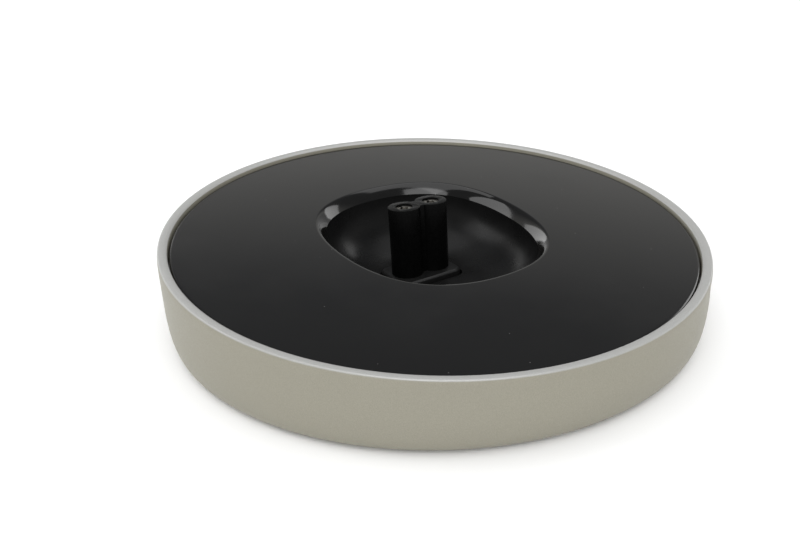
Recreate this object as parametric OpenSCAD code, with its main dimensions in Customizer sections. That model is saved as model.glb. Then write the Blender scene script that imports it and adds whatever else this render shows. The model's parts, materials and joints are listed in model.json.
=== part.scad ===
// Round charging stand for a cordless shaver: a wedge-shaped casing, a gloss plate, a recess and a
// two-pole connector post that rocks on its foot. Front is -Y, the power inlet is at +Y, +Z is up.

/* [Casing] */
// Largest radius of the casing
casing_r = 52.1; // [50:0.1:56]
// Thickness of the casing's side wall
casing_wall = 2.4; // [2:0.1:3]
// Height of the casing's lower edge above the table
casing_low = 0.6; // [0.4:0.1:0.8]
// How far the lower edge draws in from the side wall
low_draw_in = 2.8; // [1:0.1:3.4]
// Slope of the plate down towards the front, in degrees
slope = 4.5; // [2:0.25:5]
// How far the rim stands above the plate
rim_up = 1.0; // [0.6:0.05:1.6]
// Depth of the rim's widest line below the plate
rim_drop = 1.6; // [1:0.1:2.4]
// Width of the rim's outer round
rim_round = 1.0; // [0.7:0.1:1.4]
// Width of the rim round the plate
rim_w = 1.85; // [1.6:0.05:2.4]
// Thickness of the deck that carries the plate
deck_t = 2.0; // [1.6:0.1:2.2]
// Gap between the front of the recess bowl and the hole in the deck
deck_hole_gap = 5.55; // [4.4:0.05:6.4]

/* [Gloss plate] */
// Thickness of the plate
plate_t = 2.0; // [1.6:0.1:2.4]
// Height of the plate's face at the centre
plate_h = 16.2; // [15.8:0.1:20]
// Gap between the plate and the rim
plate_gap = 0.25; // [0.15:0.05:0.4]
// Chamfer on the plate's outer edge
plate_chamfer = 0.3; // [0.1:0.05:0.5]
// Thickness of the bonding tape under the plate
tape_t = 0.3; // [0.2:0.05:0.4]
// Margin between the tape and the plate's edge
tape_margin = 2.5; // [1:0.25:5]

/* [Recess] */
// Half the width of the recess
recess_half_w = 19.0; // [17.6:0.1:20.4]
// Length of the recess in front of its widest line
recess_front = 22.3; // [21:0.1:24]
// Length of the recess behind its widest line
recess_back = 20.6; // [19:0.1:22]
// How far the widest line lies behind the centre
recess_wide_y = 1.25; // [0:0.05:2]
// Squareness of the recess outline, 2 is an ellipse
recess_square = 2.35; // [2.1:0.05:2.8]
// How far the recess widens through the plate's thickness
recess_edge = 1.7; // [1:0.1:2.2]
// Height of the recess floor above the table
floor_z = 4.8; // [4.7:0.05:5.2]
// Wall of the recess bowl
bowl_wall = 1.4; // [1.2:0.1:1.5]
// Horizontal run of the bowl's curved side
bowl_run = 11; // [9:0.25:11.2]
// How far the bowl's fixing flange reaches under the deck
flange_w = 5.5; // [4.8:0.1:6]
// Thickness of the bowl's fixing flange
flange_t = 1.5; // [1.2:0.1:1.6]

/* [Connector post] */
// Distance between the two poles
pole_pitch = 6.3; // [6:0.05:6.6]
// Radius of each pole's round post
lobe_r = 3.2; // [3:0.05:3.4]
// Width of the web between the posts
web_w = 3.4; // [2.4:0.1:4.4]
// Length of the post above its foot
post_len = 14; // [11:0.25:16]
// Backward lean of the post, in degrees
post_lean = 2.2; // [1.5:0.1:3]
// Place of the post behind the centre, at the top of its foot
post_y = 4.45; // [4.2:0.05:4.7]
// Radius of each contact hole in the post
hole_r = 1.7; // [1.6:0.05:1.9]
// How far the contacts lie below the top of the post
contact_sink = 0.35; // [0.2:0.05:1.2]
// Radius of the pin that each contact takes
socket_pin_r = 0.8; // [0.7:0.05:0.9]
// Depth of each contact socket
socket_depth = 8.5; // [6:0.25:9]
// Width of the slit across each contact
slit_w = 0.4; // [0.25:0.05:0.5]
// Length of the slit across each contact
slit_len = 3; // [1.5:0.25:4]
// Radius of each contact's tail
tail_r = 0.5; // [0.4:0.05:0.55]

/* [Rocking foot] */
// Width of the foot
foot_w = 14.4; // [14:0.1:15]
// Depth of the foot, front to back
foot_d = 10; // [9.5:0.1:10.5]
// Height of the foot's top above the recess floor
foot_up = 1.1; // [0.8:0.05:1.4]
// Corner radius of the foot
foot_corner = 1.8; // [1:0.1:2.4]
// Chamfer on the foot's top edge
foot_chamfer = 0.4; // [0.2:0.05:0.6]
// Gap between the foot and its opening
foot_gap = 0.5; // [0.45:0.05:0.7]
// Distance of the pivot behind the foot's front edge
pivot_back = 3.75; // [3.5:0.05:4]
// Depth of the pivot below the recess floor
pivot_drop = 1.1; // [1.05:0.05:1.2]
// Radius of the pivot pins
pivot_r = 0.5; // [0.4:0.02:0.52]
// Radial running clearance on the pivot pins
pivot_play = 0.05; // [0.03:0.01:0.08]

/* [Base cover] */
// Height of the cover's outer face above the table
cover_z = 0.8; // [0.7:0.05:0.9]
// Thickness of the base cover
cover_t = 1.6; // [1.5:0.05:1.7]
// Gap between the cover and the casing
cover_gap = 0.3; // [0.2:0.05:0.5]
// Margin between the rubber feet and the cover's edge
pad_inset = 1.1; // [0.6:0.1:3]
// Radius of each rubber foot
pad_r = 4.8; // [4:0.1:5]
// Thickness of each rubber foot
pad_t = 1.55; // [1.3:0.05:1.6]
// Length of the bare label place
label_l = 26; // [16:1:32]
// Width of the bare label place
label_w = 13; // [8:1:16]

/* [Ballast] */
// Margin between the ballast plate and the cover's edge
ballast_inset = 2.9; // [2.4:0.1:5]
// Inner radius of the ballast plate
ballast_hole_r = 27; // [26:0.25:28]
// Thickness of the ballast plate
ballast_t = 3; // [2:0.1:3.2]
// Width of the ballast's rear gap
ballast_gap_w = 27; // [26:0.5:32]

/* [Power inlet] */
// Gap between the inlet's housing and the deck above it
inlet_gap = 1.03; // [0.6:0.01:1.2]
// Distance between the inlet pins
inlet_pitch = 6.3; // [6:0.05:6.6]
// Radius of the inlet pins
inlet_pin_r = 0.8; // [0.7:0.05:0.9]
// How much thicker each inlet pin is in the housing's wall
pin_root = 0.2; // [0.1:0.05:0.4]
// Radius of each round part of the inlet cavity
inlet_lobe_r = 3.45; // [3.3:0.05:3.5]
// Depth of the inlet cavity
inlet_depth = 9; // [8:0.25:9.5]
// Wall round the inlet cavity
inlet_wall = 1.1; // [0.8:0.05:1.2]
// Distance from each inlet screw to the end of the flange
ear_margin = 1.5; // [1.3:0.1:2.2]
// Thickness of the inlet's flange
inlet_flange_t = 1.5; // [1.2:0.1:1.8]

/* [Leads and screws] */
// Radius of each lead over its insulation
lead_r = 0.6; // [0.5:0.02:0.64]
// Radius of the large screws' shanks
screw_r = 0.9; // [0.8:0.05:1]
// Radius of the large screws' heads
head_r = 2.1; // [1.8:0.05:2.3]
// Height of the large screws' heads
head_h = 1.3; // [1:0.05:1.4]
// Radial gap of a screw in its hole
screw_gap = 0.05; // [0.02:0.01:0.1]
// Radius of the small screws' shanks
small_r = 0.7; // [0.6:0.05:0.8]
// Radius of the small screws' heads
small_head_r = 1.6; // [1.4:0.05:1.8]
// Height of the small screws' heads
small_head_h = 1; // [0.8:0.05:1.1]

/* [Hidden] */
$fn = 64;
// Overlap of the shapes inside one piece, and the gap between two pieces that seat in each other
eps = 0.01;
seat = 0.05;

silver = [0.70, 0.68, 0.63];
gloss_black = [0.07, 0.07, 0.07];
matt_black = [0.12, 0.12, 0.12];
steel = [0.62, 0.63, 0.65];
brass = [0.78, 0.66, 0.38];

rim_in_r = casing_r - rim_w;
plate_r = rim_in_r - plate_gap;
crest_r = casing_r - rim_round;
wide_r = casing_r / cos(slope) + 0.03;
rim_dip = 0.5;
rim_bow = 0.65;
plate_shift = rim_drop * sin(slope);
cavity_r = casing_r - casing_wall;
low_r = casing_r - low_draw_in;
side_bow = 0.67;
deck_top = -plate_t - tape_t;
deck_low = deck_top - deck_t;
deck_hole_r = recess_front - recess_wide_y + bowl_wall + deck_hole_gap;
tape_hole_r = deck_hole_r + 1;
flange_r = deck_hole_r + flange_w;
flange_low = deck_low - seat - flange_t;
cover_top = cover_z + cover_t;
cover_r = low_r - casing_wall;
plate_side_h = plate_h - casing_r * tan(slope) - rim_drop;

bowl_top = -plate_t - seat;
bowl_turn = 84;
ring_n = 60;
bowl_steps = 9;
edge_steps = 5;
edge_bow = 1.3;

foot_top = floor_z + foot_up;
foot_low = cover_top + 0.3;
foot_y0 = post_y - foot_d / 2;
pivot_y = foot_y0 + pivot_back;
pivot_z = floor_z - pivot_drop;
pivot_in = 2;
pivot_end_gap = 0.1;
pocket_drop = 0.15;
boss_w = 2.9;
boss_d = 3.2;
boss_lift = 0.15;
boss_under = 0.45;
boss_end = 0.4;
boss_x = foot_w / 2 + foot_gap;
post_sink = 1.2;
post_seat = 0.02;
sleeve_floor = 1;
tail_play = 0.1;
rib_w = 1.8;
rib_d = 1.4;
rib_in = 0.5;
rib_back = 2;

screw_angles = [45, 135, 225, 315];
foot_circle_r = cover_r - pad_r - pad_inset;
pad_round = 0.4;
pad_play = 0.2;
pad_top = pad_t + seat;
label_corner = 1.5;
label_depth = 0.2;
column_r = 3;
column_gap = 0.5;
column_wall = 1.4;
column_z = cover_top + 2;
column_bite = 4.5;
head_gap = 0.3;
hole_play = 0.2;

ballast_r = cover_r - ballast_inset;
ballast_angles = [0, 180, 270];
ballast_boss_r = 2.5;
ballast_boss_gap = 0.1;
ballast_head_r = ballast_boss_r + 1.3;
ballast_screw_r = ballast_r - ballast_head_r - 2.6;
ballast_bite = 0.6;
bowl_screw_r = (deck_hole_r + flange_r) / 2 + 0.3;

inlet_face = casing_r - 0.7;
pad_face = casing_r - 5.6;
pad_side = 1;
inlet_back = inlet_face - inlet_depth;
inlet_rear = inlet_back - 2;
inlet_half_h = inlet_lobe_r + inlet_wall;
inlet_z = slope_z(inlet_rear, deck_low) - inlet_half_h - inlet_gap;
inlet_play = 0.15;
inlet_corner = 1;
cavity_waist = 1;
pin_sink = 1.4;
tail_end = inlet_rear - 3.4;
ear_screw_x = inlet_pitch / 2 + inlet_half_h + small_head_r + 0.2;
inlet_ear = ear_screw_x + ear_margin;
ear_bite = 2.6;

channel_depth = 0.6;
channel_play = 0.1;
channel_front = 0.3;
channel_back = 0.9;
lead_z = cover_top - channel_depth + seat + lead_r;
lead_start = 0.6;
lead_bend_y = ballast_hole_r + 2;
lead_straight = 5;
lead_sides = 16;
under_foot = 0.5;
joint_gap = 0.1;
sleeve_wall = 0.4;
sleeve_fore = 1.6;
sleeve_aft = 1.8;
clamp_y = lead_bend_y - 4;
clamp_d = 4;
clamp_t = 2;
clamp_bite = 1;

// Place things in the plate's sloping frame, whose zero is the middle of the plate's face
module sloped() {
    translate([0, -plate_shift, plate_h]) rotate([slope, 0, 0]) children();
}

// Recess outline grown outwards by g: a rounded square, longer in front of its widest line
function outline_point(a, g) = let(
        n = 2 / recess_square,
        c = cos(a), s = sin(a),
        w = recess_half_w + g,
        d = (s < 0 ? recess_front : recess_back) + g)
    [w * sign(c) * pow(abs(c), n), recess_wide_y + d * sign(s) * pow(abs(s), n)];

function outline(g) = [for (k = [0 : ring_n - 1]) outline_point(k * 360 / ring_n, g)];

// Height of the sloping plane that lies z below or above the plate's face, over the place y
function slope_z(y, z) = plate_h + z / cos(slope) + (y + plate_shift) * tan(slope);

// Rings are [growth, depth under the plate's face, share of the way down to the level z]
function ring_points(ring, level) = [for (p = outline(ring[0]))
    [p[0], p[1], slope_z(p[1], ring[1]) * (1 - ring[2]) + level * ring[2]]];

module ring_loft(rings, level) {
    n = ring_n;
    last = len(rings) - 1;
    points = [for (ring = rings) each ring_points(ring, level)];
    sides = [for (i = [0 : last - 1], k = [0 : n - 1]) let(a = i * n + k, b = i * n + (k + 1) % n)
        each [[a, b, b + n], [a, b + n, a + n]]];
    top = [for (k = [n - 1 : -1 : 0]) k];
    low = [for (k = [0 : n - 1]) last * n + k];
    polyhedron(points = points, faces = concat([top], sides, [low]), convexity = 6);
}

function bowl_rings(grow) = [for (k = [0 : bowl_steps]) let(a = bowl_turn * k / bowl_steps)
    [grow - bowl_run * (1 - cos(a)), bowl_top, sin(a) / sin(bowl_turn)]];

// Rounded rectangle with its corners as true arcs
module rounded(w, d, r) {
    square([w - 2 * r, d], center = true);
    square([w, d - 2 * r], center = true);
    for (x = [-1, 1], y = [-1, 1]) translate([x * (w / 2 - r), y * (d / 2 - r)]) circle(r = r);
}

// Two round lobes joined by a web, as on a two-pole connector
module two_pole(pitch, r, web) {
    for (side = [-1, 1]) translate([side * pitch / 2, 0]) circle(r = r);
    square([pitch, web], center = true);
}

module along_y(y0, y1, x, z, r) {
    translate([x, y0, z]) rotate([-90, 0, 0]) cylinder(r = r, h = y1 - y0);
}

module along_x(x0, x1, y, z, r) {
    translate([x0, y, z]) rotate([0, 90, 0]) cylinder(r = r, h = x1 - x0);
}

module around(angles, r) {
    for (a = angles) translate([r * cos(a), r * sin(a), 0]) children();
}

// Screw with its head's seat at zero: the shank points down, the head stands above
module screw(r, len, hr, hh) {
    translate([0, 0, -len]) cylinder(r = r, h = len + eps);
    difference() {
        cylinder(r = hr, h = hh);
        for (a = [0, 90]) rotate([0, 0, a]) translate([-hr * 0.6, -hr * 0.11, hh * 0.5])
            cube([hr * 1.2, hr * 0.22, hh]);
    }
}

// Rim and top of the casing about the sloping axis; below its round it lies outside the side
module casing_cap() {
    steps = 8;
    in_steps = 5;
    outer = [for (k = [0 : steps]) let(a = 90 * k / steps)
        [crest_r + (wide_r - crest_r) * pow(cos(a), rim_bow),
            (rim_up + rim_drop) * pow(sin(a), rim_bow) - rim_drop]];
    inner = [for (k = [1 : in_steps]) let(a = 90 * k / in_steps)
        [crest_r - (crest_r - rim_in_r) * sin(a), rim_up - rim_dip * (1 - cos(a))]];
    reach = 2 * plate_h;
    flare = 0.11 * reach;
    sloped() rotate_extrude($fn = 180) polygon(concat(
        [[0, -reach], [wide_r + flare, -reach]], outer, inner, [[0, rim_up - rim_dip]]));
}

// Side and drawn-in lower edge of the casing about the upright axis
module casing_side() {
    steps = 9;
    side_h = plate_side_h - casing_low;
    side = [for (k = [0 : steps]) let(a = 90 * k / steps)
        [low_r + low_draw_in * pow(sin(a), side_bow),
            casing_low + side_h * (1 - pow(cos(a), side_bow))]];
    rotate_extrude($fn = 180) polygon(concat(
        [[0, casing_low]], side, [[casing_r, 2 * plate_h], [0, 2 * plate_h]]));
}

module under_deck() {
    sloped() translate([0, 0, deck_low - 3 * plate_h]) cylinder(r = 2 * casing_r, h = 3 * plate_h);
}

// Outer casing: rim, side wall, deck, screw columns and the flat seat of the inlet
module outer_shell() color(silver) difference() {
    intersection() {
        casing_cap();
        casing_side();
        difference() {
            cylinder(r = 2 * casing_r, h = 3 * plate_h);
            difference() {
                intersection() {
                    translate([0, 0, cover_top]) cylinder(r = cavity_r, h = 3 * plate_h, $fn = 180);
                    under_deck();
                }
                around(screw_angles, foot_circle_r) translate([0, 0, column_z])
                    cylinder(r = column_r, h = 2 * plate_h);
                translate([-inlet_ear - pad_side, pad_face, cover_top])
                    cube([2 * (inlet_ear + pad_side), casing_r, 2 * plate_h]);
            }
        }
    }
    sloped() translate([0, 0, deck_top]) cylinder(r = rim_in_r, h = plate_h, $fn = 180);
    sloped() translate([0, 0, deck_low - 1]) cylinder(r = deck_hole_r, h = plate_h, $fn = 120);
    translate([0, 0, -1]) cylinder(r = cover_r + cover_gap, h = cover_top + 1 + eps, $fn = 180);
    around(screw_angles, foot_circle_r) translate([0, 0, column_z - 1])
        cylinder(r = screw_r + screw_gap, h = 1 + column_bite + head_gap);
    translate([0, pad_face - 1, inlet_z]) rotate([-90, 0, 0]) linear_extrude(height = casing_r)
        inlet_body_shape(inlet_play);
    for (side = [-1, 1]) along_y(pad_face - 1, pad_face + ear_bite + head_gap, side * ear_screw_x,
        inlet_z, small_r + screw_gap);
    sloped() around(screw_angles, bowl_screw_r) translate([0, 0, deck_low - 1])
        cylinder(r = small_r + screw_gap, h = 1 + deck_t * 0.75);
}

// Stadium outline of the inlet's body, larger by the gap g

module inlet_body_shape(g) {
    r = inlet_lobe_r + inlet_wall + g;
    two_pole(inlet_pitch, r, 2 * r);
}

// Gloss plate, with a bowed slope down into the recess
module top_plate() color(gloss_black) difference() {
    sloped() translate([0, 0, -plate_t]) rotate_extrude($fn = 180) polygon([[0, 0], [plate_r, 0],
        [plate_r, plate_t - plate_chamfer], [plate_r - plate_chamfer, plate_t], [0, plate_t]]);
    ring_loft(concat([[recess_edge + 0.5, 1, 0], [recess_edge + 0.15, 0.05, 0]],
        [for (k = [1 : edge_steps]) let(u = k / edge_steps)
            [recess_edge * (1 - u), -(plate_t + seat) * pow(u, edge_bow), 0]],
        [[0, -plate_t - 1, 0]]), 0);
}

// Bonding tape between the deck and the plate
module plate_tape() color("white") sloped() translate([0, 0, deck_top]) difference() {
    cylinder(r = plate_r - tape_margin, h = tape_t, $fn = 120);
    translate([0, 0, -1]) cylinder(r = tape_hole_r, h = tape_t + 2, $fn = 120);
}

// Bowl of the recess, with its fixing flange, the foot's opening and the two pivot bosses
module recess_bowl() color(gloss_black) difference() {
    union() {
        ring_loft(bowl_rings(bowl_wall), floor_z - bowl_wall);
        sloped() translate([0, 0, flange_low]) cylinder(r = flange_r, h = flange_t, $fn = 120);
        for (side = [-1, 1]) translate([side * (boss_x + boss_w / 2) - boss_w / 2, pivot_y - boss_d / 2,
            cover_top + boss_lift]) cube([boss_w, boss_d, floor_z - boss_under - cover_top - boss_lift]);
    }
    ring_loft(concat([[0, 4, 0]], bowl_rings(0)), floor_z);
    translate([0, post_y, 0]) linear_extrude(height = plate_h)
        rounded(foot_w + 2 * foot_gap, foot_d + 2 * foot_gap, foot_corner + foot_gap);
    along_x(boss_end - boss_x - boss_w, boss_x + boss_w - boss_end, pivot_y, pivot_z, pivot_r);
    sloped() around(screw_angles, bowl_screw_r) translate([0, 0, flange_low - 1])
        cylinder(r = small_r + hole_play, h = flange_t + 2);
}

// Screws that hold the bowl under the deck
module bowl_screws() color(steel) sloped() around(screw_angles, bowl_screw_r)
    translate([0, 0, flange_low]) rotate([180, 0, 0])
        screw(small_r, flange_t + seat + deck_t * 0.6, small_head_r, small_head_h);

// Base cover with foot places, screw columns, ballast bosses, lead channels and a label place
module bottom_cover() color(matt_black) difference() {
    union() {
        translate([0, 0, cover_z]) cylinder(r = cover_r, h = cover_t, $fn = 180);
        around(screw_angles, foot_circle_r) translate([0, 0, cover_top - eps])
            cylinder(r = column_r + column_wall, h = column_z - cover_top + eps);
        around(ballast_angles, ballast_screw_r) translate([0, 0, cover_top - eps])
            cylinder(r = ballast_boss_r, h = ballast_t - ballast_boss_gap);
        for (side = [-1, 1]) translate([side * (foot_w / 2 - rib_in - rib_w / 2) - rib_w / 2,
            foot_y0 + foot_d - rib_back, cover_top - eps])
                cube([rib_w, rib_d, foot_low - cover_top - seat]);
    }
    around(screw_angles, foot_circle_r) {
        cylinder(r = pad_r + pad_play, h = pad_top);
        cylinder(r = head_r + head_gap, h = pad_top + head_h + seat);
        cylinder(r = screw_r + head_gap, h = column_z + 1);
    }
    around(ballast_angles, ballast_screw_r) translate([0, 0, cover_z + cover_t / 2])
        cylinder(r = screw_r + screw_gap, h = cover_t + ballast_t);
    for (side = [-1, 1]) translate([side * pole_pitch / 2, 0, cover_top - channel_depth]) {
        translate([-lead_r - channel_play, pivot_y - channel_front, 0]) cube([2 * (lead_r + channel_play),
            lead_bend_y + channel_back + channel_front - pivot_y, cover_t]);
        translate([0, lead_bend_y + channel_back, 0])
            cylinder(r = lead_r + channel_play, h = cover_t, $fn = 24);
    }
    translate([-foot_w / 2 - foot_gap, foot_y0 - foot_gap, cover_top - pocket_drop])
        cube([foot_w + 2 * foot_gap, pivot_back, cover_t]);
    translate([0, clamp_y, cover_top - clamp_bite - seat]) cylinder(r = small_r + screw_gap, h = cover_t);
    translate([0, -ballast_hole_r / 2, 0]) linear_extrude(height = cover_z + label_depth)
        rounded(label_l, label_w, label_corner);
}

// Screws that hold the cover to the casing, under the rubber feet
module cover_screws() color(steel) around(screw_angles, foot_circle_r)
    translate([0, 0, pad_top + head_h]) rotate([180, 0, 0])
        screw(screw_r, column_z + column_bite - pad_top - head_h, head_r, head_h);

// One rubber foot, with a rounded lower edge
module pad(angle) color("dimgray") around([angle], foot_circle_r) rotate_extrude()
    polygon([[0, 0], [pad_r - pad_round, 0], [pad_r - 0.3 * pad_round, 0.3 * pad_round],
        [pad_r, pad_round], [pad_r, pad_t], [0, pad_t]]);

module front_left_foot() pad(screw_angles[2]);
module front_right_foot() pad(screw_angles[3]);
module rear_left_foot() pad(screw_angles[1]);
module rear_right_foot() pad(screw_angles[0]);

// Steel ballast on the base cover, open at the rear for the leads and the inlet
module ballast_plate() color(steel) translate([0, 0, cover_top]) linear_extrude(height = ballast_t)
    difference() {
        circle(r = ballast_r, $fn = 180);
        circle(r = ballast_hole_r, $fn = 120);
        around(screw_angles, foot_circle_r) circle(r = column_r + column_wall + column_gap);
        around(ballast_angles, ballast_screw_r) circle(r = ballast_boss_r + hole_play);
        translate([-ballast_gap_w / 2, 0]) square([ballast_gap_w, 2 * ballast_r]);
    }

module ballast_screws() color(steel) around(ballast_angles, ballast_screw_r)
    translate([0, 0, cover_top + ballast_t])
        screw(screw_r, ballast_t + ballast_bite, ballast_head_r, small_head_h);

// Housing of the rear power inlet, with its two-pole cavity and fixing flange
module power_inlet() color(matt_black) difference() {
    union() {
        translate([0, inlet_rear, inlet_z]) rotate([-90, 0, 0])
            linear_extrude(height = inlet_face - inlet_rear) inlet_body_shape(0);
        translate([0, pad_face - inlet_flange_t, inlet_z]) rotate([-90, 0, 0])
            linear_extrude(height = inlet_flange_t) rounded(2 * inlet_ear, 2 * inlet_half_h, inlet_corner);
    }
    translate([0, inlet_back, inlet_z]) rotate([-90, 0, 0]) linear_extrude(height = 2 * inlet_depth)
        two_pole(inlet_pitch, inlet_lobe_r, 2 * inlet_lobe_r - cavity_waist);
    for (side = [-1, 1]) {
        along_y(inlet_rear - 1, inlet_back + 1, side * inlet_pitch / 2, inlet_z, inlet_pin_r + pin_root);
        along_y(pad_face - inlet_flange_t - 1, pad_face + 1, side * ear_screw_x, inlet_z,
            small_r + hole_play);
    }
}

// Inlet pin: the exposed pin, its thicker root in the housing's wall and its solder tail
module inlet_pin(side) color(brass) {
    x = side * inlet_pitch / 2;
    along_y(inlet_rear + eps, inlet_face - pin_sink, x, inlet_z, inlet_pin_r);
    along_y(inlet_rear, inlet_back, x, inlet_z, inlet_pin_r + pin_root);
    along_y(tail_end, inlet_rear + eps, x, inlet_z, tail_r);
}

module inlet_pin_left() inlet_pin(-1);
module inlet_pin_right() inlet_pin(1);

module inlet_screws() color(steel) for (side = [-1, 1])
    translate([side * ear_screw_x, pad_face - inlet_flange_t, inlet_z]) rotate([90, 0, 0])
        screw(small_r, inlet_flange_t + ear_bite, small_head_r, small_head_h);

function unit(v) = v / norm(v);

// Round tube along the stops, mitred at each bend; its bends lie about the X axis
module tube(stops, r) {
    n = lead_sides;
    last = len(stops) - 1;
    points = [for (k = [0 : last]) let(
            before = unit(stops[max(k, 1)] - stops[max(k, 1) - 1]),
            after = unit(stops[min(k, last - 1) + 1] - stops[min(k, last - 1)]),
            along = unit(before + after),
            side = unit(cross(along, [1, 0, 0])) / (along * before),
            across = unit(cross(side, along)))
        for (j = [0 : n - 1]) stops[k] + r * (cos(360 * j / n) * across + sin(360 * j / n) * side)];
    walls = [for (k = [0 : last - 1], j = [0 : n - 1]) let(a = k * n + j, b = k * n + (j + 1) % n)
        each [[a, b, b + n], [a, b + n, a + n]]];
    polyhedron(points = points, faces = concat([[for (j = [n - 1 : -1 : 0]) j]], walls,
        [[for (j = [0 : n - 1]) last * n + j]]), convexity = 4);
}

// Insulated lead from a contact tail, laid in its channel in the cover, up to an inlet pin's tail
module lead() {
    x = pole_pitch / 2;
    xi = inlet_pitch / 2;
    tube([[x, pivot_y + lead_start, lead_z], [x, lead_bend_y, lead_z],
        [xi, tail_end - lead_straight, inlet_z], [xi, tail_end - joint_gap, inlet_z]], lead_r);
}

module lead_left() color("firebrick") mirror([1, 0, 0]) lead();
module lead_right() color("black") lead();

// Shrink sleeves over the joints of the leads and the inlet pins
module lead_sleeves() color("silver") for (side = [-1, 1]) difference() {
    along_y(tail_end - sleeve_fore, tail_end + sleeve_aft, side * inlet_pitch / 2, inlet_z,
        lead_r + sleeve_wall);
    along_y(tail_end - sleeve_fore - 1, tail_end + sleeve_aft + 1, side * inlet_pitch / 2, inlet_z,
        lead_r + seat);
}

// Strap that holds both leads down on the cover
module lead_clamp() color(matt_black) difference() {
    translate([-pole_pitch, clamp_y - clamp_d / 2, cover_top]) cube([2 * pole_pitch, clamp_d, clamp_t]);
    for (side = [-1, 1]) {
        x = side * pole_pitch / 2;
        along_y(clamp_y - clamp_d, clamp_y + clamp_d, x, lead_z, lead_r + seat);
        translate([x - lead_r - seat, clamp_y - clamp_d, 0])
            cube([2 * (lead_r + seat), 2 * clamp_d, lead_z]);
    }
    translate([0, clamp_y, 0]) cylinder(r = small_r + screw_gap, h = plate_h);
}

module clamp_screw() color(steel) translate([0, clamp_y, cover_top + clamp_t])
    screw(small_r, clamp_t + clamp_bite, small_head_r, small_head_h);

// Steel pin in the bowl's boss, on which one side of the foot rocks
module pivot_pin(side) color(steel) mirror([side < 0 ? 1 : 0, 0, 0])
    along_x(foot_w / 2 - pivot_in + pivot_end_gap, boss_x + boss_w - boss_end - pivot_end_gap,
        pivot_y, pivot_z, pivot_r);

module pivot_pin_left() pivot_pin(-1);
module pivot_pin_right() pivot_pin(1);

// Place things in the post's leaning frame, whose zero is on top of the foot
module leaning() {
    translate([0, post_y, foot_top]) rotate([-post_lean, 0, 0]) children();
}

// Rocking foot: a chamfered block that carries the post on the two pivot pins
module post_foot() color(matt_black) difference() {
    intersection() {
        translate([0, post_y, foot_low]) linear_extrude(height = foot_top - foot_low)
            rounded(foot_w, foot_d, foot_corner);
        translate([-foot_w, 0, 0]) rotate([90, 0, 90]) foot_section(foot_d, foot_w, post_y);
        translate([0, post_y + foot_d, 0]) rotate([90, 0, 0]) foot_section(foot_w, foot_d, 0);
    }
    leaning() translate([0, 0, -post_sink]) linear_extrude(height = 2 * post_sink)
        two_pole(pole_pitch, lobe_r + post_seat, web_w + 2 * post_seat);
    for (side = [-1, 1]) {
        mirror([side < 0 ? 1 : 0, 0, 0])
            along_x(foot_w / 2 - pivot_in, foot_w, pivot_y, pivot_z, pivot_r + pivot_play);
        leaning() translate([side * pole_pitch / 2, 0, -2 * foot_top])
            cylinder(r = tail_r + tail_play, h = 2 * foot_top);
    }
    translate([-pole_pitch / 2 - lead_r - under_foot, pivot_y - under_foot, 0])
        cube([pole_pitch + 2 * (lead_r + under_foot), foot_d, lead_z + lead_r + under_foot]);
}

// Cross-section of the foot with its top chamfers, w wide round the given place, drawn out both ways
module foot_section(w, run, place) {
    c = foot_chamfer;
    linear_extrude(height = 2 * run) translate([place, 0]) polygon([[-w / 2, 0], [w / 2, 0],
        [w / 2, foot_top - c], [w / 2 - c, foot_top], [-w / 2 + c, foot_top], [-w / 2, foot_top - c]]);
}

// Two-pole post with a deep contact hole in each round
module connector_post() color(matt_black) leaning() difference() {
    translate([0, 0, -post_sink]) linear_extrude(height = post_len + post_sink)
        two_pole(pole_pitch, lobe_r, web_w);
    for (side = [-1, 1]) translate([side * pole_pitch / 2, 0, 0]) {
        translate([0, 0, post_len - contact_sink - socket_depth - sleeve_floor])
            cylinder(r = hole_r, h = post_len);
        translate([0, 0, -post_len]) cylinder(r = tail_r + seat, h = 2 * post_len);
    }
}

// Split sleeve contact with a tail that reaches down through the foot
module contact(side) color(brass) leaning() translate([side * pole_pitch / 2, 0, 0]) {
    top = post_len - contact_sink;
    low = top - socket_depth - sleeve_floor;
    tail_low = lead_z + lead_r + head_gap - foot_top;
    difference() {
        translate([0, 0, low + seat]) cylinder(r = hole_r - seat, h = top - low - seat);
        translate([0, 0, top - socket_depth]) cylinder(r = socket_pin_r + seat, h = socket_depth + 1);
        translate([-slit_w / 2, -hole_r, top - slit_len]) cube([slit_w, 2 * hole_r, slit_len + 1]);
    }
    translate([0, 0, tail_low]) cylinder(r = tail_r, h = low + 2 * seat - tail_low);
}

module contact_left() contact(-1);
module contact_right() contact(1);

outer_shell();
top_plate();
plate_tape();
recess_bowl();
bowl_screws();
bottom_cover();
cover_screws();
front_left_foot();
front_right_foot();
rear_left_foot();
rear_right_foot();
ballast_plate();
ballast_screws();
power_inlet();
inlet_pin_left();
inlet_pin_right();
inlet_screws();
lead_left();
lead_right();
lead_sleeves();
lead_clamp();
clamp_screw();
pivot_pin_left();
pivot_pin_right();
post_foot();
connector_post();
contact_left();
contact_right();
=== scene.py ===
"""Looks of a round shaver charging stand: silver casing, gloss plate, oval recess and a two-pole post.

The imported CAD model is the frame. The outer pieces are modelled over it as by hand: rings are drawn
as four-point Bezier circles and bridged, small parts start from primitives and are cut and bevelled.
"""
import json
import math

import bpy
from mathutils import Matrix, Vector


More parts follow.
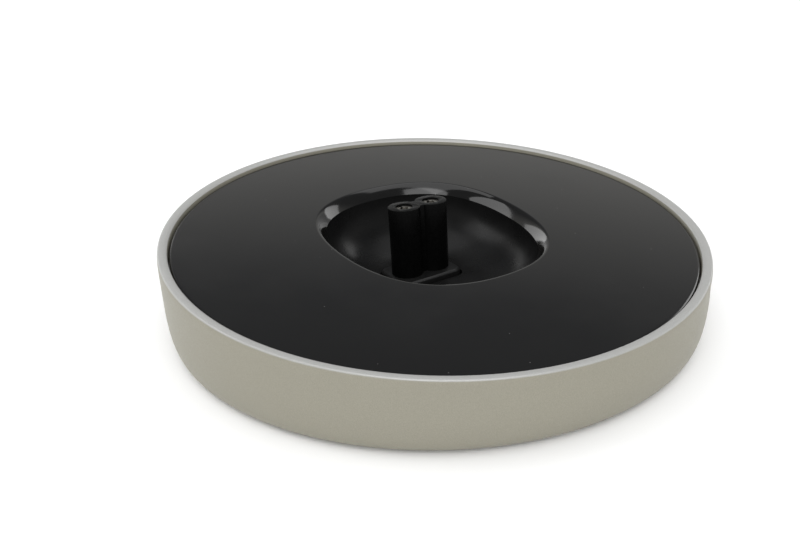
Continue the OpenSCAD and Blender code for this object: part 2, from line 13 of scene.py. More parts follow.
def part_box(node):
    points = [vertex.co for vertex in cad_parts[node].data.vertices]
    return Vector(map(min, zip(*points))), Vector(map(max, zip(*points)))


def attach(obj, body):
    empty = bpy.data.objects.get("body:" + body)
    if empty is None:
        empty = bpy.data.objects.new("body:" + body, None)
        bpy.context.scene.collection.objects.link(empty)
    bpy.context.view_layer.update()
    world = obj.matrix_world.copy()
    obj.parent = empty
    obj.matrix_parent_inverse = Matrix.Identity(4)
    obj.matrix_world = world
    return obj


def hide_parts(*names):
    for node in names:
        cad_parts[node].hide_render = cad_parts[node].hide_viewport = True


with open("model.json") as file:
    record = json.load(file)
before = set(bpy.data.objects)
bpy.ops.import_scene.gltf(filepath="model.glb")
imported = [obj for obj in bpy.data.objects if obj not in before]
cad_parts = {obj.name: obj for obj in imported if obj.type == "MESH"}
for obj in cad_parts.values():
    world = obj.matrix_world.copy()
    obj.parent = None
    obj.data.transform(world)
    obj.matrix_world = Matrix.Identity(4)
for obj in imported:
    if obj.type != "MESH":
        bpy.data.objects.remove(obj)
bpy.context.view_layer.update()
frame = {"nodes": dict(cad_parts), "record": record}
nodes = frame["nodes"]

MM = 0.001

# Casing, in metres, in the frame's own places
CASING_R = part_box("outer_shell")[1].x
CASING_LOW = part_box("outer_shell")[0].z
CASING_WALL = 2.4 * MM
LOW_DRAW_IN = 2.8 * MM
LOW_R = CASING_R - LOW_DRAW_IN
SLOPE = math.radians(4.5)
RIM_UP = 0.945 * MM
RIM_DROP = 1.6 * MM
RIM_ROUND = 0.45 * MM
RIM_DIP = 0.5 * MM
RIM_BOW = 0.55
RIM_STEPS = 16
RIM_TOP_STEPS = 5
SIDE_BOW = 0.67
SIDE_STEPS = 14
COVER_GAP = 0.3 * MM
PLATE_H = 16.2 * MM
PLATE_SHIFT = -RIM_DROP * math.sin(SLOPE)

# Gloss plate and deck
PLATE_R = 50 * MM
PLATE_T = 2.0 * MM
PLATE_GAP = 0.25 * MM
PLATE_CHAMFER = 0.3 * MM
CHAMFER_IN = 0.12 * MM
CHAMFER_DOWN = 0.09 * MM
DECK_TOP = PLATE_T + 0.3 * MM
DECK_LOW = DECK_TOP + 2.0 * MM
DECK_HOLE_R = 28 * MM

# Recess
RECESS_W = 19.0 * MM
RECESS_FRONT = 22.3 * MM
RECESS_BACK = 20.6 * MM
RECESS_Y = 1.25 * MM
RECESS_EDGE = 1.7 * MM
EDGE_BOW = 1.3
EDGE_STEPS = 12
FACE_BORDER = 0.3 * MM
FLOOR_Z = 4.8 * MM
BOWL_WALL = 1.4 * MM
BOWL_RUN = 11 * MM
BOWL_TURN = math.radians(84)
BOWL_STEPS = 16
TRAY_GAP = 0.05 * MM

# Rocking foot and connector post
FOOT_LOW, FOOT_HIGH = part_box("post_foot")
FOOT_CORNER = 1.8 * MM
FOOT_CHAMFER = 0.4 * MM
FOOT_SOFT = 0.07 * MM
FOOT_GAP = 0.5 * MM
CORNER_SEGMENTS = 8
POST_LEAN = math.radians(2.2)
POST_Y = (FOOT_LOW.y + FOOT_HIGH.y) / 2
POST_LEN = 14 * MM
POST_SINK = 1.2 * MM
POLE_PITCH = 6.3 * MM
LOBE_R = 3.2 * MM
WEB_W = 3.4 * MM
POST_SOFT = 0.16 * MM
HOLE_R = 1.7 * MM
HOLE_EXTRA = 1.6 * MM
CONTACT_SINK = 0.35 * MM
CONTACT_PLAY = 0.05 * MM
CONTACT_FLOOR = 0.95 * MM
CONTACT_FLARE = 0.34 * MM
SOCKET_R = 0.85 * MM
SOCKET_DEPTH = 8.5 * MM
SLIT = Vector((0.4, 4, 6)) * MM
PAD_SOFT = 0.35 * MM

# Power inlet at the back
INLET_SEAT = CASING_R - 5.6 * MM
INLET_FLANGE = 1.5 * MM
INLET_BACK_WALL = 2 * MM
INLET_LOBE_R = 3.45 * MM
INLET_WAIST = 1 * MM
INLET_PLAY = 0.15 * MM
INLET_CUT_IN = 8 * MM
INLET_CUT_OUT = 4 * MM
INLET_SOFT = 0.22 * MM
EAR_CORNER = 1 * MM
EAR_SCREW_X = 9.5 * MM
EAR_HOLE_R = 0.75 * MM
PIN_R = 0.8 * MM
PIN_ROOT_R = 1.0 * MM
PIN_TAIL_R = 0.5 * MM
PIN_TIP = 0.42 * MM
PIN_SUNK = 0.5 * MM
TAIL_SUNK = 0.4 * MM
ROOT_PLAY = 0.01 * MM

# Handle length that makes a four-point Bezier ring a circle, and a rounded square
ROUND = 0.5523
RECESS_SQUARE = 0.652
RING_STEPS = 44
# Neighbouring rings of one flat face lie this far apart, so that their bridge keeps its direction
STEP = 0.004 * MM
# How far a cutter reaches past the face that it opens
PAST = 1 * MM
# Share of the half height that rounds a stadium's ends without making its edges meet
STADIUM_SHARE = 0.999
FINE_TURN = 96
# Points closer than this are one point
MERGE = 0.002 * MM
ALONG_Y = Vector((0, 1, 0))
ALONG_Z = Vector((0, 0, 1))
# Least cosine between two directions that count as the same
ALIGNED = 0.99
SIDES = ((-1, "left"), (1, "right"))

# Sockets of a Mix node that mixes colours
MIX_SHARE, MIX_FIRST, MIX_SECOND, MIX_RESULT = 0, 6, 7, 2

# Studio
FLOOR_SIZE = 6
FLOOR_DROP = 0.02 * MM
LIT_SPOT = Vector((0, 0, 0.01))


def deselect_all():
    if bpy.context.object and bpy.context.object.mode != "OBJECT":
        bpy.ops.object.mode_set(mode="OBJECT")
    bpy.ops.object.select_all(action="DESELECT")


def only(obj):
    deselect_all()
    obj.select_set(True)
    bpy.context.view_layer.objects.active = obj


def edit_all(obj):
    only(obj)
    bpy.ops.object.mode_set(mode="EDIT")
    bpy.ops.mesh.select_all(action="SELECT")


def edit_chosen(obj, kind, chosen):
    """Opens a mesh for editing with only those of its edges or faces selected that chosen accepts."""
    only(obj)
    bpy.ops.object.mode_set(mode="EDIT")
    bpy.ops.mesh.select_mode(type=kind)
    bpy.ops.mesh.select_all(action="DESELECT")
    leave_edit()
    for item in obj.data.edges if kind == "EDGE" else obj.data.polygons:
        item.select = chosen(item)
    bpy.ops.object.mode_set(mode="EDIT")


def leave_edit():
    bpy.ops.object.mode_set(mode="OBJECT")


def place_in_mesh(obj):
    """Bakes an object's place, turn and size into its mesh."""
    only(obj)
    bpy.ops.object.transform_apply(location=True, rotation=True, scale=True)


def block(middle, size):
    """Box at its place and size, to be shaped or to cut with."""
    bpy.ops.mesh.primitive_cube_add(size=1, location=middle)
    obj = bpy.context.object
    obj.scale = size
    place_in_mesh(obj)
    return obj


def apply_modifier(obj, kind, **settings):
    only(obj)
    modifier = obj.modifiers.new(kind.title(), kind)
    for key, value in settings.items():
        setattr(modifier, key, value)
    bpy.ops.object.modifier_apply(modifier=modifier.name)


def cut(obj, cutter):
    apply_modifier(obj, "BOOLEAN", operation="DIFFERENCE", solver="EXACT", object=cutter)
    bpy.data.objects.remove(cutter)


def weld(obj, other):
    apply_modifier(obj, "BOOLEAN", operation="UNION", solver="EXACT", object=other)
    bpy.data.objects.remove(other)


def round_edges(obj, width, segments=3, angle=35):
    apply_modifier(obj, "BEVEL", width=width, segments=segments, limit_method="ANGLE",
                   angle_limit=math.radians(angle))


def shade(obj, angle=32):
    only(obj)
    bpy.ops.object.shade_smooth_by_angle(angle=math.radians(angle))


def clean(obj):
    """Merges doubled points and turns all faces outwards."""
    edit_all(obj)
    bpy.ops.mesh.remove_doubles(threshold=MERGE)
    bpy.ops.mesh.normals_make_consistent(inside=False)
    leave_edit()


def named(obj, name):
    obj.name = name
    obj.data.name = name
    return obj


def sloped_z(y, depth):
    """Height at y of the plane that lies depth under the plate's face."""
    return PLATE_H - depth / math.cos(SLOPE) + (y - PLATE_SHIFT) * math.tan(SLOPE)


def ring(wide, front, back, centre_y, square, level, slope_depth=0.0, share=0.0):
    """One closed outline, drawn 1000 times as large, which bridge_rings takes back.

    wide, front and back are its reach to the sides and along Y, and square is how full its corners
    are. At share 1 it lies in the plate's sloping plane, at share 0 at the given level.
    """
    bpy.ops.curve.primitive_bezier_circle_add(radius=1, location=(0, 0, 0))
    curve = bpy.context.object
    curve.data.dimensions = "3D"
    curve.data.resolution_u = RING_STEPS
    points = curve.data.splines[0].bezier_points
    for point in points:
        point.handle_left_type = point.handle_right_type = "FREE"
    for point in points:
        for part in ("co", "handle_left", "handle_right"):
            spot = getattr(point, part)
            x, y = (handle_share(v, square) for v in (spot.x, spot.y))
            place_y = centre_y + y * (back if y > 0 else front)
            height = share * sloped_z(place_y, slope_depth) + (1 - share) * level
            setattr(point, part, Vector((x * wide, place_y, height)) / MM)
    bpy.ops.object.convert(target="MESH")
    return bpy.context.object


def handle_share(value, square):
    """A Bezier circle's coordinate, with its handles' 0.55 drawn out to the wanted squareness."""
    if 0.4 < abs(value) < 0.7:
        return math.copysign(square, value)
    return float(round(value))


def level_circle(radius, height):
    return ring(radius, radius, radius, 0, ROUND, height)


def sloped_circle(radius, depth):
    """Circle parallel to the plate's face, at a depth under it, round the plate's own axis."""
    flat = radius * math.cos(SLOPE)
    centre = PLATE_SHIFT + depth * math.sin(SLOPE)
    return ring(radius, flat, flat, centre, ROUND, 0, depth, 1)


def recess_ring(grow, depth, share=1.0, level=0.0):
    """Outline of the recess, larger all round by grow."""
    return ring(RECESS_W + grow, RECESS_FRONT + grow, RECESS_BACK + grow, RECESS_Y, RECESS_SQUARE,
                level, depth, share)


def bridge_rings(name, rings):
    """Joins the rings to one mesh and bridges each to the next, and the last to the first."""
    for index, loop in enumerate(rings):
        group = loop.vertex_groups.new(name=f"ring{index:03d}")
        group.add(range(len(loop.data.vertices)), 1.0, "REPLACE")
    deselect_all()
    for loop in rings:
        loop.select_set(True)
    bpy.context.view_layer.objects.active = rings[0]
    bpy.ops.object.join()
    obj = bpy.context.object
    count = len(rings)
    bpy.ops.object.mode_set(mode="EDIT")
    bpy.ops.mesh.select_mode(type="EDGE")
    for index in range(count):
        bpy.ops.mesh.select_all(action="DESELECT")
        for member in (index, (index + 1) % count):
            obj.vertex_groups.active_index = obj.vertex_groups[f"ring{member:03d}"].index
            bpy.ops.object.vertex_group_select()
        bpy.ops.mesh.bridge_edge_loops()
    bpy.ops.mesh.select_all(action="SELECT")
    bpy.ops.mesh.normals_make_consistent(inside=False)
    leave_edit()
    obj.vertex_groups.clear()
    obj.scale = (MM, MM, MM)
    place_in_mesh(obj)
    return named(obj, name)


def quarter(steps, first=0):
    """Angles of a quarter turn in equal steps."""
    return [math.pi / 2 * k / steps for k in range(first, steps + 1)]


def make_casing():
    """Side wall, rim, seat of the plate, deck and inside in one closed turn, open for the inlet."""
    side_h = PLATE_H - CASING_R * math.tan(SLOPE) - RIM_DROP - CASING_LOW
    rings = [level_circle(LOW_R + LOW_DRAW_IN * math.sin(a) ** SIDE_BOW,
                          CASING_LOW + side_h * (1 - math.cos(a) ** SIDE_BOW))
             for a in quarter(SIDE_STEPS)[:-1]]
    crest = CASING_R - RIM_ROUND
    inner = PLATE_R + PLATE_GAP
    rings += [sloped_circle(crest + RIM_ROUND * max(math.cos(a), 0) ** RIM_BOW,
                            RIM_DROP - (RIM_UP + RIM_DROP) * math.sin(a) ** RIM_BOW)
              for a in quarter(RIM_STEPS)]
    rings += [sloped_circle(crest - (crest - inner) * math.sin(a),
                            -RIM_UP + RIM_DIP * (1 - math.cos(a))) for a in quarter(RIM_TOP_STEPS, 1)]
    rings += [sloped_circle(inner, DECK_TOP), sloped_circle(DECK_HOLE_R, DECK_TOP + STEP),
              sloped_circle(DECK_HOLE_R, DECK_LOW), sloped_circle(CASING_R - CASING_WALL, DECK_LOW + STEP)]
    cover_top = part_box("ballast_plate")[0].z
    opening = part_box("bottom_cover")[1].x + COVER_GAP
    rings += [level_circle(CASING_R - CASING_WALL, cover_top), level_circle(opening, cover_top - STEP),
              level_circle(opening, CASING_LOW + STEP)]
    casing = bridge_rings("casing", rings)
    cut(casing, inlet_prism(INLET_PLAY, CASING_R - INLET_CUT_IN, CASING_R + INLET_CUT_OUT))
    shade(casing, angle=40)
    return casing


def inlet_prism(gap, y0, y1):
    """Stadium between two places along Y, larger all round than the power inlet by a gap."""
    low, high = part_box("power_inlet")
    half_h = (high.z - low.z) / 2 + gap
    half_w = POLE_PITCH / 2 + half_h
    prism = block((0, (y0 + y1) / 2, (low.z + high.z) / 2), (2 * half_w, y1 - y0, 2 * half_h))
    bevel_edges_along(prism, ALONG_Y, half_h * STADIUM_SHARE, 12)
    return prism


def bevel_edges_along(obj, axis, width, segments):
    """Rounds a box's four edges that run along one axis."""
    def runs_along(edge):
        a, b = (obj.data.vertices[v].co for v in edge.vertices)
        return abs((b - a).normalized().dot(axis)) > ALIGNED

    edit_chosen(obj, "EDGE", runs_along)
    bpy.ops.mesh.bevel(offset=width, segments=segments, affect="EDGES")
    leave_edit()


def make_plate():
    """Round plate with a chamfered rim and a recess whose edge slopes down and inwards."""
    rings = [sloped_circle(PLATE_R, PLATE_T), sloped_circle(PLATE_R, PLATE_CHAMFER),
             sloped_circle(PLATE_R - CHAMFER_IN, CHAMFER_DOWN), sloped_circle(PLATE_R - PLATE_CHAMFER, 0),
             sloped_circle(PLATE_R - 2 * PLATE_CHAMFER, STEP),
             recess_ring(RECESS_EDGE + FACE_BORDER, 2 * STEP)]
    for k in range(EDGE_STEPS + 1):
        down = k / EDGE_STEPS
        rings.append(recess_ring(RECESS_EDGE * (1 - down),
                                 3 * STEP + (PLATE_T - 4 * STEP) * down ** EDGE_BOW))
    plate = bridge_rings("gloss_plate", rings)
    shade(plate)
    return plate


def rod_along_y(radius, y0, y1, x, z, corners=48):
    """Level rod, as a pin or as a cutter for its hole."""
    bpy.ops.mesh.primitive_cylinder_add(vertices=corners, radius=radius, depth=y1 - y0,
                                        location=(x, (y0 + y1) / 2, z), rotation=(math.pi / 2, 0, 0))
    place_in_mesh(bpy.context.object)
    return bpy.context.object


def make_inlet():
    """Housing of the power inlet: fixing flange, two-pole cavity with a soft mouth, holes for pins."""
    low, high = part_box("power_inlet")
    z = (low.z + high.z) / 2
    back = low.y + INLET_BACK_WALL
    housing = inlet_prism(0, low.y, high.y)
    flange = block((0, INLET_SEAT - INLET_FLANGE / 2, z), (high.x - low.x, INLET_FLANGE, high.z - low.z))
    bevel_edges_along(flange, ALONG_Y, EAR_CORNER, 6)
    weld(housing, flange)
    for side, _ in SIDES:
        cut(housing, rod_along_y(INLET_LOBE_R, back, high.y + PAST, side * POLE_PITCH / 2, z, FINE_TURN))
    cut(housing, block((0, (back + high.y + PAST) / 2, z),
                       (POLE_PITCH, high.y + PAST - back, 2 * INLET_LOBE_R - INLET_WAIST)))
    clean(housing)
    round_edges(housing, INLET_SOFT, angle=50)
    for side, _ in SIDES:
        cut(housing, rod_along_y(PIN_ROOT_R, low.y - PAST, back + PAST, side * POLE_PITCH / 2, z))
        cut(housing, rod_along_y(EAR_HOLE_R, INLET_SEAT - INLET_FLANGE - PAST, INLET_SEAT + PAST,
                                 side * EAR_SCREW_X, z))
    clean(housing)
    shade(housing)
    return named(housing, "inlet_housing")


def make_inlet_pin(side, node, name):
    """Turned pin with a round tip, a thicker root in the housing's wall and a solder tail."""
    low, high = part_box(node)
    x, z = side * POLE_PITCH / 2, (low.z + high.z) / 2
    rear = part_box("power_inlet")[0].y
    pin = rod_along_y(PIN_R, rear + PIN_SUNK, high.y, x, z)
    round_edges(pin, PIN_TIP, segments=5)
    weld(pin, rod_along_y(PIN_ROOT_R - ROOT_PLAY, rear, rear + INLET_BACK_WALL - ROOT_PLAY, x, z))
    weld(pin, rod_along_y(PIN_TAIL_R, low.y, rear + TAIL_SUNK, x, z))
    clean(pin)
    shade(pin)
    return named(pin, name)


def bowl_ring(angle, grow, floor, drop=0.0):
    """Outline of the tray at an angle of its turn, from the rim at 0 down to the floor."""
    turn = math.sin(angle) / math.sin(BOWL_TURN)
    depth = PLATE_T + TRAY_GAP + drop
    return recess_ring(grow - BOWL_RUN * (1 - math.cos(angle)), depth, 1 - turn, floor)


def make_bowl():
    """Thin tray under the recess: its inside, the foot's opening in its floor, and its outside."""
    angles = [BOWL_TURN * k / BOWL_STEPS for k in range(BOWL_STEPS + 1)]
    rings = [bowl_ring(a, 0, FLOOR_Z) for a in angles]
    rings += [foot_opening(FLOOR_Z - STEP), foot_opening(FLOOR_Z - BOWL_WALL + STEP)]
    rings += [bowl_ring(a, BOWL_WALL, FLOOR_Z - BOWL_WALL, STEP) for a in reversed(angles)]
    bowl = bridge_rings("recess_tray", rings)
    shade(bowl, angle=30)
    return bowl


def foot_opening(height):
    """Rounded rectangle, larger than the rocking foot by its gap, drawn as large as the rings."""
    w = FOOT_HIGH.x - FOOT_LOW.x + 2 * FOOT_GAP
    d = FOOT_HIGH.y - FOOT_LOW.y + 2 * FOOT_GAP
    bpy.ops.mesh.primitive_plane_add(size=1, location=(0, POST_Y / MM, height / MM))
    outline = bpy.context.object
    outline.scale = (w / MM, d / MM, 1)
    place_in_mesh(outline)
    edit_all(outline)
    bpy.ops.mesh.bevel(offset=(FOOT_CORNER + FOOT_GAP) / MM, segments=CORNER_SEGMENTS, affect="VERTICES")
    bpy.ops.mesh.delete(type="ONLY_FACE")
    leave_edit()
    return outline


def make_foot():
    """Rocking foot: a block with round corners and a chamfer round its top."""
    foot = block((FOOT_LOW + FOOT_HIGH) / 2, FOOT_HIGH - FOOT_LOW)
    bevel_edges_along(foot, ALONG_Z, FOOT_CORNER, CORNER_SEGMENTS)
    bevel_top(foot, FOOT_HIGH.z, FOOT_CHAMFER)
    round_edges(foot, FOOT_SOFT, segments=2)
    shade(foot)
    return named(foot, "rocking_foot")


def bevel_top(obj, height, width):
    """Chamfers the edge round the upward face at a height."""
    edit_chosen(obj, "FACE", lambda face: face.normal.z > ALIGNED and face.center.z > height - 2 * STEP)
    bpy.ops.mesh.region_to_loop()
    bpy.ops.mesh.bevel(offset=width, segments=1, affect="EDGES")
    leave_edit()


def rod(radius, bottom, top, x):
    """Upright rod in the post's own frame."""
    bpy.ops.mesh.primitive_cylinder_add(vertices=64, radius=radius, depth=top - bottom,
                                        location=(x, 0, (top + bottom) / 2))
    return bpy.context.object


def lean(obj):
    """Moves a piece from the post's own upright frame to its leaning place on the foot."""
    obj.matrix_world = Matrix.Translation((0, POST_Y, FOOT_HIGH.z)) @ Matrix.Rotation(
        -POST_LEAN, 4, "X") @ obj.matrix_world
    place_in_mesh(obj)
    return obj


def make_post():
    """Two round posts joined by a web, with a deep hole in each and softened edges."""
    post = rod(LOBE_R, -POST_SINK, POST_LEN, -POLE_PITCH / 2)
    place_in_mesh(post)
    weld(post, rod(LOBE_R, -POST_SINK, POST_LEN, POLE_PITCH / 2))
    weld(post, block((0, 0, (POST_LEN - POST_SINK) / 2), (POLE_PITCH, WEB_W, POST_LEN + POST_SINK)))
    for side, _ in SIDES:
        cut(post, rod(HOLE_R, POST_LEN - SOCKET_DEPTH - HOLE_EXTRA, POST_LEN + PAST,
                      side * POLE_PITCH / 2))
    clean(post)
    round_edges(post, POST_SOFT)
    shade(post)
    lean(post)
    return named(post, "post")


def make_contact(side, name):
    """Split sleeve with a flared mouth, seen inside the post's hole."""
    top = POST_LEN - CONTACT_SINK
    x = side * POLE_PITCH / 2
    sleeve = rod(HOLE_R - CONTACT_PLAY, top - SOCKET_DEPTH - CONTACT_FLOOR, top, x)
    place_in_mesh(sleeve)
    cut(sleeve, rod(SOCKET_R, top - SOCKET_DEPTH, top + PAST, x))
    cut(sleeve, block((x, 0, top), SLIT))
    clean(sleeve)
    round_edges(sleeve, CONTACT_FLARE, segments=4, angle=50)
    shade(sleeve)
    lean(sleeve)
    return named(sleeve, name)


def make_pads():
    """Rubber feet: one turned pad with a rounded rim, copied to each place."""
    made = []
    for node in ("front_left_foot", "front_right_foot", "rear_left_foot", "rear_right_foot"):
        low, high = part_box(node)
        middle = (low + high) / 2
        if not made:
            bpy.ops.mesh.primitive_cylinder_add(vertices=FINE_TURN, radius=(high.x - low.x) / 2,
                                                depth=high.z - low.z, location=middle)
            pad = bpy.context.object
            place_in_mesh(pad)
            round_edges(pad, PAD_SOFT, segments=4)
            first = middle
        else:
            pad = made[0].copy()
            pad.data = made[0].data.copy()
            bpy.context.scene.collection.objects.link(pad)
            pad.location = middle - first
            place_in_mesh(pad)
        shade(pad)
        made.append(named(pad, node.replace("foot", "pad")))
        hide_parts(node)
    return made


def new_material(name):
    """A node material, with its nodes and links."""
    material = bpy.data.materials.new(name)
    material.use_nodes = True
    return material, material.node_tree.nodes, material.node_tree.links


def noise(parts, links, scale, detail=3.0, rough=0.5):
    """Noise on the piece's own coordinates; scale is in waves per metre."""
    place = parts.new("ShaderNodeTexCoord")
    texture = parts.new("ShaderNodeTexNoise")
    texture.inputs["Scale"].default_value = scale
    texture.inputs["Detail"].default_value = detail
    texture.inputs["Roughness"].default_value = rough
    links.new(place.outputs["Object"], texture.inputs["Vector"])
    return texture


def ramp(parts, links, source, low, high, first, last):
    """Turns a grey source between two places into two colours."""
    node = parts.new("ShaderNodeValToRGB")
    node.color_ramp.elements[0].position = low
    node.color_ramp.elements[1].position = high
    node.color_ramp.elements[0].color = first
    node.color_ramp.elements[1].color = last
    links.new(source, node.inputs["Fac"])
    return node


def varied(parts, links, scale, first, last):
    """Two colours or greys, mixed by noise on the piece's own coordinates."""
    return ramp(parts, links, noise(parts, links, scale).outputs["Fac"], 0.3, 0.7, first, last)


def grey(value):
    return (value, value, value, 1)


def bump(parts, links, source, strength, distance):
    """Raises a material's surface by a source; distance is in metres."""
    node = parts.new("ShaderNodeBump")
    node.inputs["Strength"].default_value = strength
    node.inputs["Distance"].default_value = distance
    links.new(source, node.inputs["Height"])
    shader = parts["Principled BSDF"]
    links.new(node.outputs["Normal"], shader.inputs["Normal"])


def satin_paint():
    """Champagne silver paint with fine flake and a faint orange peel; up-facing faces such as the rim's top
    get a paler, more neutral colour as painted top light.
    """
    material, parts, links = new_material("satin_silver_paint")
    shader = parts["Principled BSDF"]
    shader.inputs["Metallic"].default_value = 0.3
    shader.inputs["Specular IOR Level"].default_value = 0.22
    flake = noise(parts, links, 9000, 2)
    tint = ramp(parts, links, flake.outputs["Fac"], 0.35, 0.65,
                (0.27, 0.257, 0.209, 1), (0.318, 0.304, 0.248, 1))
    # Paler, more neutral colour for up-facing faces such as the rim's top: painted top light on the same
    # paint
    painted_top_light_tint = ramp(parts, links, flake.outputs["Fac"], 0.35, 0.65,
                    (0.4, 0.4, 0.388, 1), (0.46, 0.46, 0.446, 1))
    facing = parts.new("ShaderNodeNewGeometry")
    split = parts.new("ShaderNodeSeparateXYZ")
    links.new(facing.outputs["Normal"], split.inputs["Vector"])
    # Mask from the normal's height: faces that point up get the painted top light
    upward = ramp(parts, links, split.outputs["Z"], 0.2, 0.45, grey(0), grey(1))
    both = parts.new("ShaderNodeMix")
    both.data_type = "RGBA"
    links.new(upward.outputs["Color"], both.inputs[MIX_SHARE])
    links.new(tint.outputs["Color"], both.inputs[MIX_FIRST])
    links.new(painted_top_light_tint.outputs["Color"], both.inputs[MIX_SECOND])
    links.new(both.outputs[MIX_RESULT], shader.inputs["Base Color"])
    sheen = varied(parts, links, 2500, grey(0.4), grey(0.48))
    links.new(sheen.outputs["Color"], shader.inputs["Roughness"])
    bump(parts, links, noise(parts, links, 1400, 2).outputs["Fac"], 0.08, 0.0001)
    return material


def gloss_plastic():
    """Gloss black lacquer with faint smudges and a few specks of dust."""
    material, parts, links = new_material("gloss_black")
    shader = parts["Principled BSDF"]
    shader.inputs["Specular IOR Level"].default_value = 0.5
    smudge = ramp(parts, links, noise(parts, links, 60, 4, 0.6).outputs["Fac"], 0.35, 0.75,
                  grey(0.06), grey(0.16))
    links.new(smudge.outputs["Color"], shader.inputs["Roughness"])
    place = parts.new("ShaderNodeTexCoord")
    specks = parts.new("ShaderNodeTexVoronoi")
    specks.inputs["Scale"].default_value = 260
    links.new(place.outputs["Object"], specks.inputs["Vector"])
    dust = ramp(parts, links, specks.outputs["Distance"], 0.02, 0.03,
                (0.09, 0.088, 0.085, 1), (0.0042, 0.004, 0.0036, 1))
    links.new(dust.outputs["Color"], shader.inputs["Base Color"])
    return material


def bowl_plastic():
    """Semi-gloss black moulding with a soft variation in its sheen."""
    material, parts, links = new_material("bowl_black")
    shader = parts["Principled BSDF"]
    shader.inputs["Specular IOR Level"].default_value = 0.17
    tint = varied(parts, links, 150, grey(0.005), grey(0.008))
    links.new(tint.outputs["Color"], shader.inputs["Base Color"])
    sheen = varied(parts, links, 220, grey(0.24), grey(0.34))
    links.new(sheen.outputs["Color"], shader.inputs["Roughness"])
    return material


def moulded(name, dark, light, rough, grain, depth=0.00004, shine=0.4):
    """Moulded plastic or rubber: fine spark-eroded grain in the bump, colour and roughness."""
    material, parts, links = new_material(name)
    shader = parts["Principled BSDF"]
    shader.inputs["Specular IOR Level"].default_value = shine
    tint = varied(parts, links, grain / 6, dark, light)
    links.new(tint.outputs["Color"], shader.inputs["Base Color"])
    sheen = varied(parts, links, grain / 3, grey(rough - 0.06), grey(rough + 0.06))
    links.new(sheen.outputs["Color"], shader.inputs["Roughness"])
    bump(parts, links, noise(parts, links, grain, 4).outputs["Fac"], 0.25, depth)
    return material


def metal(name, dark, light, rough, grain):
    """Plated or rolled metal with a fine uneven finish."""
    material, parts, links = new_material(name)
    shader = parts["Principled BSDF"]
    shader.inputs["Metallic"].default_value = 1.0
    tint = varied(parts, links, grain / 4, dark, light)
    links.new(tint.outputs["Color"], shader.inputs["Base Color"])
    sheen = varied(parts, links, grain, grey(rough - 0.08), grey(rough + 0.08))
    links.new(sheen.outputs["Color"], shader.inputs["Roughness"])
    bump(parts, links, noise(parts, links, grain * 2, 2).outputs["Fac"], 0.1, 0.00002)
    return material


def paint(obj, material):
    obj.data.materials.clear()
    obj.data.materials.append(material)


def make_materials():
    return {
        "satin_silver": satin_paint(),
        "gloss_black": gloss_plastic(),
        "bowl_black": bowl_plastic(),
        "post_black": moulded("post_black", grey(0.0018), grey(0.0028), 0.3, 9000, 0.00002, 0.05),
        "foot_black": moulded("foot_black", grey(0.006), grey(0.009), 0.34, 8000, 0.00002),
        "matte_black": moulded("matte_black", grey(0.016), grey(0.026), 0.55, 6000),
        "rubber": moulded("rubber", grey(0.02), grey(0.03), 0.75, 5000),
        "tape": moulded("tape", (0.7, 0.7, 0.67, 1), (0.8, 0.8, 0.77, 1), 0.7, 4000),
        "lead_red": moulded("lead_red", (0.35, 0.02, 0.015, 1), (0.42, 0.03, 0.02, 1), 0.4, 6000),
        "lead_black": moulded("lead_black", grey(0.012), grey(0.018), 0.4, 6000),
        "sleeve": moulded("sleeve", grey(0.02), grey(0.03), 0.5, 6000),
        "screw_steel": metal("screw_steel", (0.5, 0.51, 0.53, 1), (0.62, 0.63, 0.65, 1), 0.3, 5000),
        "ballast_steel": metal("ballast_steel", (0.36, 0.36, 0.37, 1), (0.46, 0.46, 0.47, 1), 0.42, 900),
        # Darker copy of the pin metal for the contacts down in the post's holes: painted shade
        "shaded_contact_metal": metal("shaded_contact_metal", (0.28, 0.27, 0.245, 1), (0.36, 0.345, 0.31, 1), 0.34, 4000),
        "pin_metal": metal("pin_metal", (0.6, 0.58, 0.53, 1), (0.72, 0.7, 0.65, 1), 0.25, 4000),
    }


def finish_piece(obj, body, slot, materials, *stands_for):
    """Paints a piece with its slot's material, puts it on its body and hides the CAD nodes that it
    replaces.
    """
    paint(obj, materials[slot])
    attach(obj, body)
    if stands_for:
        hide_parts(*stands_for)


def paint_cad_nodes(materials):
    """Gives each CAD node the material of its slot, for those that stay visible."""
    for entry in frame["record"]["subparts"]:
        paint(nodes[entry["node"]], materials[entry["material_slot"]])


def make_floor():
    bpy.ops.mesh.primitive_plane_add(size=FLOOR_SIZE, location=(0, 0, -FLOOR_DROP))
    floor = named(bpy.context.object, "floor")
    material, parts, links = new_material("pale_floor")
    parts["Principled BSDF"].inputs["Base Color"].default_value = (1, 1, 1, 1)
    parts["Principled BSDF"].inputs["Roughness"].default_value = 0.9
    parts["Principled BSDF"].inputs["Specular IOR Level"].default_value = 0.1
    paint(floor, material)


def make_world():
    """A pale studio: white at the horizon, grey with one paler band for the plate to mirror, dim above."""
    world = bpy.data.worlds.new("studio")
    bpy.context.scene.world = world
    world.use_nodes = True
    parts, links = world.node_tree.nodes, world.node_tree.links
    place = parts.new("ShaderNodeTexCoord")
    split = parts.new("ShaderNodeSeparateXYZ")
    links.new(place.outputs["Generated"], split.inputs["Vector"])
    sky = ramp(parts, links, split.outputs["Z"], 0.04, 0.54, (0.95, 0.95, 0.95, 1), (0.2, 0.205, 0.215, 1))
    for height, colour in ((0.12, grey(0.5)), (0.28, grey(0.42)), (0.39, (0.6, 0.595, 0.575, 1))):
        sky.color_ramp.elements.new(height).color = colour
    links.new(sky.outputs["Color"], parts["Background"].inputs["Color"])


def area_light(name, place, size, power):
    """Softbox that faces the stand; power is in watts."""
    data = bpy.data.lights.new(name, "AREA")
    data.shape = "RECTANGLE"
    data.size, data.size_y = size
    data.energy = power
    lamp = bpy.data.objects.new(name, data)
    bpy.context.scene.collection.objects.link(lamp)
    lamp.location = place
    lamp.rotation_mode = "QUATERNION"
    lamp.rotation_quaternion = (LIT_SPOT - Vector(place)).to_track_quat("-Z", "Y")


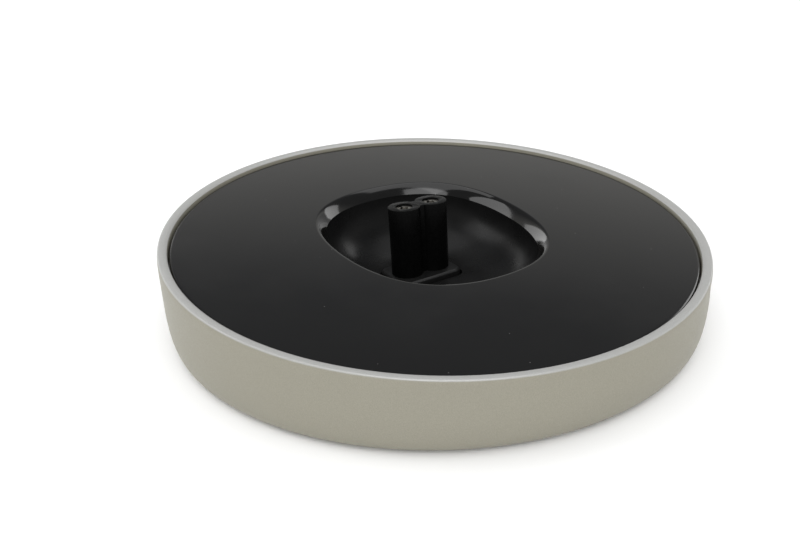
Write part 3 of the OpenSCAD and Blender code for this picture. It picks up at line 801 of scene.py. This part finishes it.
def make_lights():
    area_light("top_softbox", (0, 0, 6), (8, 8), 272)
    area_light("camera_side_softbox", (-0.5, -0.85, 0.8), (1.2, 0.9), 9)
    area_light("right_softbox", (0.8, 0.06, 0.36), (0.36, 0.3), 0.8)
    area_light("left_softbox", (-0.616, 0.451, 0.476), (0.5, 0.4), 1.4)
    area_light("back_softbox", (-0.08, 0.9, 0.25), (0.6, 0.3), 1.1)


def make_camera():
    """The photograph's viewpoint, close to the stand, slightly rolled."""
    azimuth, elevation, roll = (math.radians(v) for v in (-31.46, 23.9, -2.22))
    distance = 163.4 * MM
    target = Vector((-4.05, 5.9, 6.85)) * MM
    towards = Vector((math.sin(azimuth) * math.cos(elevation), -math.cos(azimuth) * math.cos(elevation),
                      math.sin(elevation)))
    right = (-towards).cross(ALONG_Z).normalized()
    above = right.cross(-towards)
    turned_right = math.cos(roll) * right + math.sin(roll) * above
    turned_up = math.cos(roll) * above - math.sin(roll) * right
    data = bpy.data.cameras.new("camera")
    data.lens = 36
    data.sensor_width = 36
    data.clip_start = 0.005
    camera = bpy.data.objects.new("camera", data)
    bpy.context.scene.collection.objects.link(camera)
    place = Matrix((turned_right, turned_up, towards)).transposed().to_4x4()
    place.translation = target + towards * distance
    camera.matrix_world = place
    bpy.context.scene.camera = camera


def build():
    materials = make_materials()
    paint_cad_nodes(materials)
    finish_piece(make_casing(), "stand", "satin_silver", materials, "outer_shell")
    finish_piece(make_plate(), "stand", "gloss_black", materials, "top_plate")
    finish_piece(make_bowl(), "stand", "bowl_black", materials, "recess_bowl")
    finish_piece(make_foot(), "connector", "foot_black", materials, "post_foot")
    finish_piece(make_post(), "connector", "post_black", materials, "connector_post")
    for side, part in SIDES:
        contact = make_contact(side, part + "_contact")
        finish_piece(contact, "connector", "pin_metal", materials, "contact_" + part)
        # The contacts get the darker copy of the pin metal, painted shade in the post's holes
        paint(contact, materials["shaded_contact_metal"])
    finish_piece(make_inlet(), "stand", "matte_black", materials, "power_inlet")
    for side, part in SIDES:
        pin = make_inlet_pin(side, "inlet_pin_" + part, part + "_inlet_pin")
        finish_piece(pin, "stand", "pin_metal", materials, "inlet_pin_" + part)
    for pad in make_pads():
        finish_piece(pad, "stand", "rubber", materials)


make_camera()
build()
make_floor()
make_world()
make_lights()
bpy.context.scene.view_settings.view_transform = "Standard"
deselect_all()
